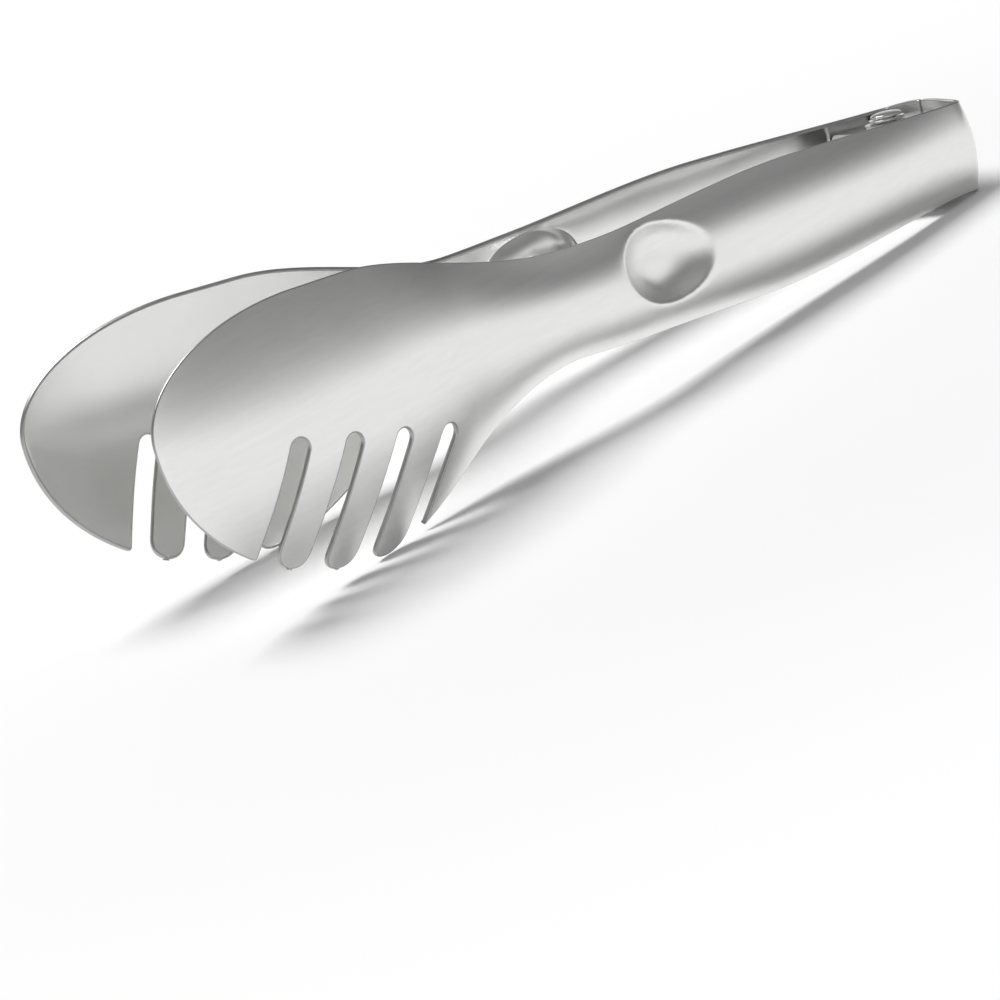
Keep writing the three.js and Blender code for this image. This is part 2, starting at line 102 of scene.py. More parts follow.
# Slots between the tines
SLOT_COUNT = 4
SLOT_WIDTH = 4.4
SLOT_PITCH = 13.3
SLOT_STEP_DOWN = 2.8
SLOT_LEAN = math.radians(25.7)
SLOT_FAN = math.radians(2.1)
FIRST_SLOT_AT = 189.7
FIRST_SLOT_TOP = -11.6
TINE_ROUNDING = 4
TINE_CORNER = 0.9

# Hinge pieces
BRACKET_SHEET = 1.2
BRACKET_BEND = 1.8
BRACKET_EDGE_ROUND = 0.2
BRACKET_RUN = 24
EAR_SETBACK = 1.5
EAR_FRONT = 6.5
EAR_REAR = 9.5
EAR_RADIUS = 5
EAR_FLAT = 12
SADDLE_REAR = 4.5
PIN_RADIUS = 2
HEAD_RADIUS = 3.65
HEAD_HEIGHT = 1.2
HEAD_EDGE = 0.4
RING_RADIUS = 3.3
RING_HEIGHT = 1
WASHER_RADIUS = 4.2
WASHER_THICKNESS = 0.5
SLEEVE_WALL = 0.6
TURNED_ROUND = 0.12
WIRE_RADIUS = 0.7
COIL_RADIUS = 4.44
COIL_TURNS = 5
LEG_ANGLE = math.radians(62)

# Fineness of the meshes
GRID_STEP = 1.3
FINE_GRID_STEP = 0.8
RIM_STEP = 1
EDGE_STEPS = 3
CURVE_STEPS = 8
TURNED_STEPS = 64
COIL_STEPS = 40
LEG_STEP = 1
WIRE_SIDES = 14
SLOPE_STEP = 0.02
PROFILE_STEPS = 24
TIP_TOP_STEPS = 50
TIP_BOTTOM_STEPS = 40
SLOT_SEARCH_REACH = 60
SLOT_SEARCH_STEPS = 6001
FINE_GRID_SHARE = 0.62
FILL_CLEARANCE = 0.6
LEAST_SPACING = 1e-4
MERGE_DISTANCE = 1e-7
INWARD_NUDGE = 1e-3
PIN_AXIS_RADIUS = 0.01
ROUND_PARTS = 3
WIRE_END_BULGE = 0.25
TWIST_SHARE = 0.42

# The three sides of a sheet, which pick its materials
OUT_SIDE, IN_SIDE, EDGE_SIDE = 0, 1, 2

# Camera, in the hinge's frame
VIEW_AZIMUTH = math.radians(-31)
VIEW_ELEVATION = math.radians(10)
VIEW_ROLL = math.radians(13.5)
VIEW_DISTANCE = 900
VIEW_TARGET = (-125, 0, -44)
VIEW_LENS = 149.04
SENSOR_WIDTH = 36
CLIP_START = 0.01

# Steels: the colours of dark and pale marks, the least and greatest roughness, how fine the marks are along
# each axis, and the strength of their relief
STEELS = {
    "satin_steel": {
        "dark": (0.83, 0.828, 0.822),
        "pale": (0.87, 0.868, 0.862),
        "roughness": (0.285, 0.325),
        "grain": (40, 900, 900),
        "bump": 0,
    },
    "polished_steel": {
        "dark": (0.82, 0.82, 0.81),
        "pale": (0.86, 0.86, 0.85),
        "roughness": (0.22, 0.265),
        "grain": (90, 120, 120),
        "bump": 0,
    },
    # Cut edges: a rougher finish than the faces, with their colour painted darker as shade, for the dark
    # line along the rims
    "cut_edge_painted_shade_steel": {
        "dark": (0.4, 0.4, 0.395),
        "pale": (0.48, 0.48, 0.475),
        "roughness": (0.29, 0.4),
        "grain": (300, 1500, 300),
        "bump": 0.1,
    },
    "hinge_steel": {
        "dark": (0.55, 0.55, 0.55),
        "pale": (0.66, 0.66, 0.65),
        "roughness": (0.18, 0.26),
        "grain": (500, 500, 200),
        "bump": 0.08,
    },
    "wire_steel": {
        "dark": (0.42, 0.42, 0.43),
        "pale": (0.55, 0.55, 0.56),
        "roughness": (0.2, 0.26),
        "grain": (700, 700, 700),
        "bump": 0.1,
    },
}

# How the marks and the wear on steel vary, and how they share in its roughness
MARK_DETAIL = 5
MARK_ROUGHNESS = 0.6
MARK_RANGE = (0.3, 0.7)
MARK_SHARE = 0.6
WEAR_SCALE = 55
WEAR_DETAIL = 3
WEAR_SHARE = 0.4
ROUGHNESS_RANGE = (0.35, 0.65)
RELIEF_DEPTH = 0.0001

# Studio: the sky's tones from straight down to straight up, its shade beyond the end of the handle, the
# floor's tones, size, finish and run into white, and the lamp
SKY_TONES = (
    (0, 0.9),
    (0.5, 1),
    (0.53, 0.93),
    (0.57, 0.74),
    (0.62, 0.52),
    (0.68, 0.33),
    (0.74, 0.23),
    (0.82, 0.23),
    (0.9, 0.3),
    (1, 0.38),
)
SHADE_FROM = 0.8
SHADE_TO = 0.97
SHADE_TONE = 0.25
FLOOR_TONES = ((0, 0.92), (1, 0.95))
FLOOR_REACH = 4
FLOOR_NEAR = 0.12
FLOOR_FAR = 0.32
FLOOR_ROUGHNESS = 0.9
FLOOR_SPECULAR = 0.1
MOTTLE_SCALE = 6
KEY_PLACE = (-0.5, 1.3, 3.3)
KEY_TARGET = (0, 0, 0.02)
KEY_SIZE = 2
KEY_POWER = 110

joint = frame["joints"][0]
HINGE_AXIS = -Vector(joint["axis"])
HINGE_TILT = math.atan2(HINGE_AXIS.x, HINGE_AXIS.z)
HINGE_FRAME = Matrix.Translation(joint["pos_m"]) @ Matrix.Rotation(HINGE_TILT, 4, "Y")


def smoothstep(value, low, high):
    share = np.clip((value - low) / (high - low), 0, 1)
    return share * share * (3 - 2 * share)


def through(place, knots):
    """A value that passes smoothly through its knots."""
    value = np.full(np.shape(place), float(knots[0][1]))
    for (start, before), (end, after) in zip(knots, knots[1:]):
        value = value + (after - before) * smoothstep(place, start, end)
    return value


def quarter_round(place, start):
    share = np.clip((place - start) / (TIP_LENGTH - start), 0, 1)
    return np.sqrt(1 - share * share)


def top_rim(place):
    return TIP_HEIGHT + (through(place, TOP_KNOTS) - TIP_HEIGHT) * quarter_round(place, TIP_TOP_FROM)


def bottom_rim(place):
    return TIP_HEIGHT + (through(place, BOTTOM_KNOTS) - TIP_HEIGHT) * quarter_round(place, TIP_BOTTOM_FROM)


def arc_at(place):
    """Middle height, half height, crown, radius and centre of the arc across an arm."""
    full = (through(place, TOP_KNOTS) - through(place, BOTTOM_KNOTS)) / 2
    half = np.maximum((top_rim(place) - bottom_rim(place)) / 2, full * LEAST_NARROWING)
    crown = through(place, CROWN_KNOTS) * (half / full) ** TIP_CROWN_POWER
    radius = half / np.sin(2 * np.arctan2(crown, half))
    centre = through(place, RIM_OUT_KNOTS) + crown - radius
    return (top_rim(place) + bottom_rim(place)) / 2, half, crown, radius, centre


def outside(place, height):
    """How far out the outside of an arm lies."""
    middle, half, crown, radius, centre = arc_at(place)
    offset = height - middle
    round_out = centre + np.sqrt(np.maximum(radius**2 - offset**2, 0))
    ridge_share = BLADE_RIDGE + (TIP_RIDGE - BLADE_RIDGE) * smoothstep(place, RIDGE_FALL_FROM, RIDGE_FALL_TO)
    ridge = half * (2 * ridge_share - 1)
    reach = np.where(offset > ridge, half - ridge, half + ridge)
    fold = np.hypot(1, BLADE_FOLD * (offset - ridge) / reach) - 1
    folded_out = through(place, RIM_OUT_KNOTS) + crown * (1 - fold / (math.hypot(1, BLADE_FOLD) - 1))
    return round_out + (folded_out - round_out) * smoothstep(place, BLADE_FROM, BLADE_FULL_AT)


def dimple_depth(place, height):
    along = 2 * (place - DIMPLE_AT) / DIMPLE_LENGTH
    across = 2 * (height - DIMPLE_HEIGHT) / DIMPLE_WIDTH
    bowl = DIMPLE_DEPTH * (1 - np.hypot(along, across) ** DIMPLE_POWER)
    return (bowl + np.hypot(bowl, DIMPLE_SOFTNESS)) / 2


def end_face(out, height):
    """A point of the handle's end face, which is square to the mid-plane when the arm stands open."""
    turn, rise = math.cos(OPEN_ANGLE), math.sin(OPEN_ANGLE)
    x = REAR_LENGTH * turn - out * rise
    y = REAR_LENGTH * rise + out * turn
    return np.stack([x, y, height], axis=1)


BEND_FROM = END_BEND_LENGTH - (REAR_LENGTH * math.cos(OPEN_ANGLE) - END_RIM_OUT * math.sin(OPEN_ANGLE))
WALL_FROM = BEND_FROM - BEND_SPAN
WALL_END = WALL_FROM - WALL_SPAN


def arm_surface(flat):
    """The outside of an arm. The flat sheet's first coordinate is the place, which runs on round the end."""
    place, height = flat[:, 0], flat[:, 1]
    on_arm = np.maximum(place, BEND_FROM)
    out = outside(on_arm, height) - dimple_depth(on_arm, height)
    start = np.stack([-on_arm, out, height], axis=1)
    open_out = (out - REAR_LENGTH * math.sin(OPEN_ANGLE)) / math.cos(OPEN_ANGLE)
    corner = end_face(open_out, height)
    end = end_face(open_out - END_BEND_WIDTH, height)
    t = np.clip((BEND_FROM - place) / BEND_SPAN, 0, 1)[:, None]
    point = (1 - t) ** 2 * start + 2 * t * (1 - t) * corner + t**2 * end
    wall = np.clip((WALL_FROM - place) / WALL_SPAN, 0, None)
    low, high = bottom_rim(BEND_FROM), top_rim(BEND_FROM)
    point = point + (end_face(np.full(len(out), GAP / 2), height) - end) * wall[:, None]
    point[:, 2] += WALL_RISE * np.sin(math.pi / 2 * wall) * (height - low) / (high - low)
    return point


def normals_of(surface, flat):
    """Unit normals of a surface, square to its steps along and up the flat sheet."""
    step_along, step_up = np.array([SLOPE_STEP, 0]), np.array([0, SLOPE_STEP])
    along = surface(flat + step_along) - surface(flat - step_along)
    up = surface(flat + step_up) - surface(flat - step_up)
    normal = np.cross(along, up)
    return normal / np.linalg.norm(normal, axis=1, keepdims=True)


def sampled(start, end, step):
    """Values from start to end, both included, no further apart than a step."""
    return np.linspace(start, end, max(2, math.ceil(abs(end - start) / step) + 1))


def bezier(start, corner, end, steps):
    t = np.linspace(0, 1, steps + 1)[:, None]
    return (1 - t) ** 2 * start + 2 * t * (1 - t) * corner + t**2 * end


def without_repeats(points):
    """A closed loop of points without those that fall on the one before."""
    gap = np.linalg.norm(points - np.roll(points, 1, axis=0), axis=1)
    return points[gap > LEAST_SPACING]


def slot_side(index, side):
    """One side of a slot in place and height, from its mouth on the blade's edge to its round top."""
    lean = SLOT_LEAN + index * SLOT_FAN
    down = np.array([math.sin(lean), -math.cos(lean)])
    across = np.array([-math.cos(lean), -math.sin(lean)])
    top = np.array([FIRST_SLOT_AT - index * SLOT_PITCH, FIRST_SLOT_TOP - index * SLOT_STEP_DOWN])
    centre = top + down * SLOT_WIDTH / 2
    start = centre + across * side * SLOT_WIDTH / 2
    reach = np.linspace(0, SLOT_SEARCH_REACH, SLOT_SEARCH_STEPS)
    line = start + reach[:, None] * down
    below = line[:, 1] <= bottom_rim(line[:, 0])
    corner = line[np.argmax(below)]
    is_outer = index == 0 if side < 0 else index == SLOT_COUNT - 1
    rounding = TINE_CORNER if is_outer else TINE_ROUNDING
    edge_place = corner[0] - side * rounding
    on_edge = np.array([edge_place, bottom_rim(edge_place)])
    on_side = corner - down * rounding
    mouth = bezier(on_edge, corner, on_side, CURVE_STEPS)
    length = np.linalg.norm(on_side - start)
    straight = on_side - sampled(0, length, RIM_STEP)[1:, None] * down
    turn = np.linspace(0, math.pi / 2, CURVE_STEPS)[1:, None]
    arc = centre + SLOT_WIDTH / 2 * (across * side * np.cos(turn) - down * np.sin(turn))
    return np.concatenate([mouth, straight, arc])


def blade_edge():
    """The lower rim from the neck to the tip, in and out of each slot."""
    stretches = []
    place = BEND_FROM
    for index in reversed(range(SLOT_COUNT)):
        near, far = slot_side(index, 1), slot_side(index, -1)
        rim = sampled(place, near[0, 0], RIM_STEP)
        stretches.append(np.stack([rim, bottom_rim(rim)], axis=1))
        stretches += [near, far[::-1]]
        place = far[0, 0]
    tip_reach = TIP_LENGTH - TIP_BOTTOM_FROM
    turn = np.linspace(math.asin((place - TIP_BOTTOM_FROM) / tip_reach), math.pi / 2, TIP_BOTTOM_STEPS)
    rim = TIP_BOTTOM_FROM + tip_reach * np.sin(turn)
    stretches.append(np.stack([rim, bottom_rim(rim)], axis=1))
    return np.concatenate(stretches)


def arm_outline():
    """The outline of the flat sheet: back along the top rim, round the end wall, and along the lower rim."""
    turn = np.linspace(math.pi / 2, 0, TIP_TOP_STEPS)
    tip = TIP_TOP_FROM + (TIP_LENGTH - TIP_TOP_FROM) * np.sin(turn)
    places = np.concatenate([tip, sampled(TIP_TOP_FROM, BEND_FROM, RIM_STEP)])
    top = np.stack([places, top_rim(places)], axis=1)
    high, low = float(top_rim(BEND_FROM)), float(bottom_rim(BEND_FROM))
    around = sampled(BEND_FROM, WALL_END + WALL_CORNER, RIM_STEP / 2)
    upper = np.stack([around, np.full(len(around), high)], axis=1)
    upper_corner = bezier(
        np.array([WALL_END + WALL_CORNER, high]),
        np.array([WALL_END, high]),
        np.array([WALL_END, high - WALL_CORNER]),
        CURVE_STEPS,
    )
    down = sampled(high - WALL_CORNER, low + WALL_CORNER, RIM_STEP)
    wall = np.stack([np.full(len(down), WALL_END), down], axis=1)
    lower = upper[::-1] * [1, 0] + [0, low]
    lower_corner = upper_corner[::-1] * [1, -1] + [0, high + low]
    stretches = [top, upper, upper_corner, wall, lower_corner, lower, blade_edge()]
    return without_repeats(np.concatenate(stretches))


def inset(loop, surface, depth):
    """A loop moved in by a depth that is measured on the surface. The loop keeps the sheet on its left."""
    ahead = np.roll(loop, -1, axis=0) - loop
    ahead /= np.linalg.norm(ahead, axis=1, keepdims=True)
    along = ahead + np.roll(ahead, 1, axis=0)
    along /= np.linalg.norm(along, axis=1, keepdims=True)
    inward = np.stack([-along[:, 1], along[:, 0]], axis=1)
    near, far = surface(loop + inward * depth / 2), surface(loop + inward * depth)
    stretch = np.linalg.norm(far - near, axis=1) / (depth / 2)
    return loop + inward * (depth / np.maximum(stretch, 1))[:, None]


def area_of(loop):
    ahead = np.roll(loop, -1, axis=0)
    return np.sum(loop[:, 0] * ahead[:, 1] - ahead[:, 0] * loop[:, 1]) / 2


def crossings(points, loop):
    """How many of a loop's edges lie to the right of each point."""
    ahead = np.roll(loop, -1, axis=0)
    count = np.zeros(len(points), int)
    for (x0, y0), (x1, y1) in zip(loop, ahead):
        if y0 == y1:
            continue
        spans = (points[:, 1] < y0) != (points[:, 1] < y1)
        cross_x = x0 + (points[:, 1] - y0) * (x1 - x0) / (y1 - y0)
        count += spans & (cross_x > points[:, 0])
    return count


def filling(loops, step, box=None):
    """Staggered points inside the loops and clear of them, in a box of the flat sheet or all over it."""
    every = np.concatenate(loops)
    (left, low), (right, high) = box or (every.min(axis=0), every.max(axis=0))
    rows = np.arange(low, high, step * math.sqrt(3) / 2)
    points = []
    for index, row in enumerate(rows):
        columns = np.arange(left + step / 2 * (index % 2), right, step)
        points.append(np.stack([columns, np.full(len(columns), row)], axis=1))
    points = np.concatenate(points)
    points = points[sum(crossings(points, loop) for loop in loops) % 2 == 1]
    clear = np.full(len(points), np.inf)
    for corner in every:
        clear = np.minimum(clear, np.hypot(*(points - corner).T))
    return points[clear > step * FILL_CLEARANCE]


def triangles_of(loops, extra):
    """The flat sheet cut into triangles: its points, the triangles and the index of each loop's points."""
    points = np.concatenate([*loops, extra])
    edges, rings, first = [], [], 0
    for loop in loops:
        ring = list(range(first, first + len(loop)))
        edges += [(a, b) for a, b in zip(ring, ring[1:] + ring[:1])]
        rings.append(ring)
        first += len(loop)
    only_inside = 1
    cut = delaunay_2d_cdt([Vector(point) for point in points], edges, [], only_inside, MERGE_DISTANCE)
    flat, _, faces, origins_of = cut[:4]
    place_of = {origin: index for index, origins in enumerate(origins_of) for origin in origins}
    rings = [[place_of[index] for index in ring] for ring in rings]
    return np.array([tuple(point) for point in flat]), [tuple(face) for face in faces], rings


def sheet_of(surface, loops, extra, thickness, edge_round):
    """A sheet with rounded edges: points, their normals, faces, and each face's side (out, in or edge)."""
    flat, triangles, rings = triangles_of([inset(loop, surface, edge_round) for loop in loops], extra)
    outer, normal = surface(flat), normals_of(surface, flat)
    first, *others = triangles[0]
    if np.cross(*(outer[others] - outer[first])) @ normal[first] < 0:
        triangles = [face[::-1] for face in triangles]
    points, normals = [outer, outer - thickness * normal], [normal, -normal]
    count = len(outer)
    faces = list(triangles) + [tuple(index + count for index in face[::-1]) for face in triangles]
    sides = [OUT_SIDE] * len(triangles) + [IN_SIDE] * len(triangles)
    first = 2 * count
    for ring in rings:
        ring = np.array(ring)
        ahead = outer[np.roll(ring, -1)] - outer[np.roll(ring, 1)]
        outward = np.cross(ahead, normal[ring])
        outward /= np.linalg.norm(outward, axis=1, keepdims=True)
        inward = (flat[np.roll(ring, -1)] - flat[ring])[:, ::-1] * [-1, 1]
        inner_side = surface(flat[ring] + INWARD_NUDGE * inward)
        if np.sum(outward * (inner_side - outer[ring])) > 0:
            outward = -outward
        strips = [ring]
        turns = np.linspace(0, math.pi / 2, EDGE_STEPS + 1)
        corners = [(math.sin(t), math.cos(t), -edge_round) for t in turns[1:]]
        corners += [(math.cos(t), -math.sin(t), edge_round - thickness) for t in turns[:-1]]
        for across, up, level in corners:
            way = across * outward + up * normal[ring]
            points.append(outer[ring] + edge_round * way + level * normal[ring])
            normals.append(way)
            strips.append(np.arange(first, first + len(ring)))
            first += len(ring)
        strips.append(ring + count)
        for near, far in zip(strips, strips[1:]):
            faces += list(zip(near, np.roll(near, -1), np.roll(far, -1), far))
            sides += [EDGE_SIDE] * len(near)
    return np.concatenate(points), np.concatenate(normals), faces, sides


def facing_out(points, normals, faces):
    """The faces, each turned so that it faces the way of its points' normals."""
    turned = []
    for face in faces:
        corners = points[list(face)]
        way = np.cross(corners[1] - corners[0], corners[-1] - corners[0])
        if len(face) == 4:
            way = np.cross(corners[2] - corners[0], corners[3] - corners[1])
        faces_out = way @ normals[list(face)].sum(axis=0) >= 0
        turned.append(tuple(int(i) for i in (face if faces_out else face[::-1])))
    return turned


def piece(name, points, normals, faces, sides, materials, turn=Matrix.Identity(3)):
    """An object from points in the hinge's frame, after a turn about the hinge, with its normals kept."""
    place = HINGE_FRAME.to_3x3() @ turn
    turn_rows = np.array(place)
    mesh = bpy.data.meshes.new(name)
    row_points = points @ turn_rows.T * MM + np.array(HINGE_FRAME.translation)
    row_normals = normals @ turn_rows.T
    mesh.from_pydata(row_points.tolist(), [], facing_out(row_points, row_normals, faces))
    for material in materials:
        mesh.materials.append(material)
    mesh.polygons.foreach_set("material_index", np.array(sides, np.int32))
    mesh.polygons.foreach_set("use_smooth", np.ones(len(faces), bool))
    mesh.normals_split_custom_set_from_vertices(row_normals.tolist())
    mesh.update()
    made = bpy.data.objects.new(name, mesh)
    bpy.context.scene.collection.objects.link(made)
    return made


def stands_for(made, node, body):
    """The piece moves with a body and is shown instead of a solid."""
    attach(made, body)
    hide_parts(node)


def half_turn(side):
    """Mirrors a closed half to its side and swings it open."""
    return Matrix.Rotation(-side * OPEN_ANGLE, 3, "Z") @ Matrix.Diagonal((1, side, 1))


def make_arms(materials):
    loop = arm_outline()
    if area_of(loop) < 0:
        loop = loop[::-1]
    reach = np.array([DIMPLE_LENGTH, DIMPLE_WIDTH]) * FINE_GRID_SHARE
    middle = np.array([DIMPLE_AT, DIMPLE_HEIGHT])
    fine = filling([loop], FINE_GRID_STEP, (middle - reach, middle + reach))
    coarse = filling([loop], GRID_STEP)
    away = np.abs(coarse - middle) > reach + GRID_STEP / 2
    extra = np.concatenate([coarse[away.any(axis=1)], fine])
    sheet = sheet_of(arm_surface, [loop], extra, SHEET, EDGE_ROUND)
    for side, name, body in ((-1, "front_arm", "front_half"), (1, "rear_arm", "rear_half")):
        arm = piece(name + "_sheet", *sheet, materials, half_turn(side))
        stands_for(arm, name, body)


# Heights of the hinge's parts from the middle of the handle at the hinge axis
HINGE_TOP, HINGE_BOTTOM = float(top_rim(0.0)), float(bottom_rim(0.0))
HINGE_MIDDLE = (HINGE_TOP + HINGE_BOTTOM) / 2
OUTER_EAR = (HINGE_TOP - HINGE_BOTTOM) / 2 - EAR_SETBACK
INNER_EAR = OUTER_EAR - BRACKET_SHEET - GAP
SPRING_ROOM = INNER_EAR - BRACKET_SHEET
WASHER_SEAT = OUTER_EAR + GAP
HEAD_SEAT = WASHER_SEAT + WASHER_THICKNESS + GAP
BORE_RADIUS = PIN_RADIUS + GAP
SLEEVE_RADIUS = BORE_RADIUS + SLEEVE_WALL


def behind_sheet(place, height, depth):
    """How far out a layer behind the arm's sheet lies."""
    middle, _, _, radius, centre = arc_at(place)
    offset = height + HINGE_MIDDLE - middle
    return centre + np.sqrt((radius - SHEET - depth) ** 2 - offset**2)


def bracket_surface(ear_height):
    """The outside of a bracket: along the upper ear to the saddle, down it, and back along the lower ear."""

    def profile(x):
        heights = np.linspace(ear_height - BRACKET_BEND, 0, PROFILE_STEPS)
        saddle = np.stack([behind_sheet(-x, heights, GAP), heights], axis=1)
        corner = np.array([behind_sheet(-x, ear_height, GAP), ear_height])
        ear = np.array([[EAR_FLAT, ear_height]])
        bend = bezier(corner - [BRACKET_BEND, 0], corner, saddle[0], CURVE_STEPS)
        return np.concatenate([ear, bend, saddle[1:]])

    def surface(flat):
        points = []
        for x, run in flat:
            lower = run > BRACKET_RUN
            upper_run = 2 * BRACKET_RUN - run if lower else run
            line = profile(x)
            length = np.concatenate([[0], np.cumsum(np.linalg.norm(np.diff(line, axis=0), axis=1))])
            share = (upper_run - EAR_FLAT) / (BRACKET_RUN - EAR_FLAT)
            y = np.interp(share * length[-1], length, line[:, 0]) if share > 0 else upper_run
            z = np.interp(share * length[-1], length, line[:, 1]) if share > 0 else ear_height
            points.append((x, y, HINGE_MIDDLE + (-z if lower else z)))
        return np.array(points)

    return surface


def bracket_loops():
    """The outline of a bracket's flat sheet, and the two holes for the pin."""
    half_end = bezier(
        np.array([-EAR_FRONT, EAR_RADIUS]),
        np.array([-EAR_FRONT, -EAR_RADIUS]),
        np.array([0, -EAR_RADIUS]),
        2 * CURVE_STEPS,
    )
    nose = bezier(
        np.array([0, -EAR_RADIUS]),
        np.array([EAR_REAR, -EAR_RADIUS]),
        np.array([EAR_REAR, EAR_RADIUS]),
        2 * CURVE_STEPS,
    )
    slope = np.linspace(nose[-1], [SADDLE_REAR, EAR_FLAT + BRACKET_BEND], CURVE_STEPS)
    rear = sampled(EAR_FLAT + BRACKET_BEND, 2 * BRACKET_RUN - EAR_FLAT - BRACKET_BEND, RIM_STEP)
    rear = np.stack([np.full(len(rear), float(SADDLE_REAR)), rear], axis=1)
    mirrored = np.concatenate([half_end, nose, slope])[::-1] * [1, -1] + [0, 2 * BRACKET_RUN]
    front = sampled(2 * BRACKET_RUN - EAR_RADIUS, EAR_RADIUS, RIM_STEP)
    front = np.stack([np.full(len(front), float(-EAR_FRONT)), front], axis=1)
    outline = without_repeats(np.concatenate([half_end, nose, slope, rear, mirrored, front]))
    turn = np.linspace(2 * math.pi, 0, 4 * CURVE_STEPS, endpoint=False)
    hole = BORE_RADIUS * np.stack([np.cos(turn), np.sin(turn)], axis=1)
    return [outline, hole, hole + [0, 2 * BRACKET_RUN]]


def make_brackets(material):
    loops = bracket_loops()
    extra = filling(loops, GRID_STEP)
    halves = (
        (-1, "front_bracket", "front_half", OUTER_EAR),
        (1, "rear_bracket", "rear_half", INNER_EAR),
    )
    for side, name, body, ear_height in halves:
        sheet = sheet_of(bracket_surface(ear_height), loops, extra, BRACKET_SHEET, BRACKET_EDGE_ROUND)
        made = piece(name + "_sheet", *sheet, [material] * 3, half_turn(side))
        stands_for(made, name, body)


def rounded_profile(corners):
    """A closed half section with its corners rounded: points and the normals there."""
    corners = np.array(corners, float)
    points, normals = [], []
    for index, corner in enumerate(corners):
        before = corners[index - 1] - corner
        after = corners[(index + 1) % len(corners)] - corner
        shorter = min(np.linalg.norm(before), np.linalg.norm(after))
        reach = min(TURNED_ROUND, shorter / ROUND_PARTS)
        before /= np.linalg.norm(before)
        after /= np.linalg.norm(after)
        arc = bezier(corner + before * reach, corner, corner + after * reach, EDGE_STEPS)
        ways = np.linspace(-before, after, EDGE_STEPS + 1)
        points.append(arc)
        normals.append(np.stack([ways[:, 1], -ways[:, 0]], axis=1))
    points, normals = np.concatenate(points), np.concatenate(normals)
    return points, normals / np.linalg.norm(normals, axis=1, keepdims=True)


def turned_piece(name, corners, material):
    """A body turned about the hinge axis from a closed half section, anticlockwise by radius and height."""
    profile, ways = rounded_profile(corners)
    points, normals, faces = [], [], []
    count = len(profile)
    for step in range(TURNED_STEPS):
        turn = 2 * math.pi * step / TURNED_STEPS
        c, s = math.cos(turn), math.sin(turn)
        points += [(r * c, r * s, HINGE_MIDDLE + z) for r, z in profile]
        normals += [(r * c, r * s, z) for r, z in ways]
        after = (step + 1) % TURNED_STEPS
        for i in range(count):
            j = (i + 1) % count
            faces.append((step * count + i, after * count + i, after * count + j, step * count + j))
    sides = [OUT_SIDE] * len(faces)
    made = piece(name + "_turned", np.array(points), np.array(normals), faces, sides, [material])
    stands_for(made, name, "rear_half")


def ring_corners(outer, low, high):
    """The half section of a ring about the pin."""
    return [(BORE_RADIUS, low), (outer, low), (outer, high), (BORE_RADIUS, high)]


def make_hinge(material):
    washer_top = WASHER_SEAT + WASHER_THICKNESS
    ring_foot = -HEAD_SEAT - RING_HEIGHT
    sleeve_end = SPRING_ROOM - GAP
    turned_piece("upper_washer", ring_corners(WASHER_RADIUS, WASHER_SEAT, washer_top), material)
    turned_piece("lower_washer", ring_corners(WASHER_RADIUS, -washer_top, -WASHER_SEAT), material)
    turned_piece("retaining_ring", ring_corners(RING_RADIUS, ring_foot, -HEAD_SEAT), material)
    turned_piece("spring_sleeve", ring_corners(SLEEVE_RADIUS, -sleeve_end, sleeve_end), material)
    foot = ring_foot - GAP
    turn = np.linspace(0, math.pi / 2, CURVE_STEPS)[:-1]
    dome = HEAD_HEIGHT - HEAD_EDGE
    head = [(HEAD_RADIUS * math.cos(t), HEAD_SEAT + HEAD_EDGE + dome * math.sin(t)) for t in turn]
    end = [(PIN_AXIS_RADIUS, foot), (PIN_RADIUS - GAP, foot), (PIN_RADIUS, foot + GAP)]
    shank = [*end, (PIN_RADIUS, HEAD_SEAT)]
    top = [(PIN_AXIS_RADIUS, HEAD_SEAT + HEAD_HEIGHT)]
    turned_piece("hinge_pin", [*shank, (HEAD_RADIUS, HEAD_SEAT), *head, *top], material)


def spring_path():
    """The wire's centre line: in along the front leg, up round the coil and out along the rear leg."""
    coil_angle = 2 * math.pi * COIL_TURNS + math.pi - 2 * LEG_ANGLE
    climb = 2 * (SPRING_ROOM - GAP) - 2 * WIRE_RADIUS
    turn_back = LEG_ANGLE - OPEN_ANGLE
    saddle = float(behind_sheet(float(EAR_FRONT), climb / 2, GAP + BRACKET_SHEET))
    clear = saddle - GAP - WIRE_RADIUS * math.cos(turn_back) - COIL_RADIUS * math.cos(turn_back)
    length = clear / math.sin(turn_back)
    share = np.linspace(0, 1, round(COIL_STEPS * coil_angle / (2 * math.pi)) + 1)
    turn = LEG_ANGLE - math.pi / 2 + coil_angle * share
    height = HINGE_MIDDLE + climb * (share - 0.5)
    coil = np.stack([COIL_RADIUS * np.cos(turn), COIL_RADIUS * np.sin(turn), height], axis=1)
    far = sampled(length, 0, LEG_STEP)[:-1, None]
    front = coil[0] + far * np.array([-math.cos(LEG_ANGLE), -math.sin(LEG_ANGLE), 0])
    rear = coil[-1] + far[::-1] * np.array([-math.cos(LEG_ANGLE), math.sin(LEG_ANGLE), 0])
    return np.concatenate([front, coil, rear]), climb


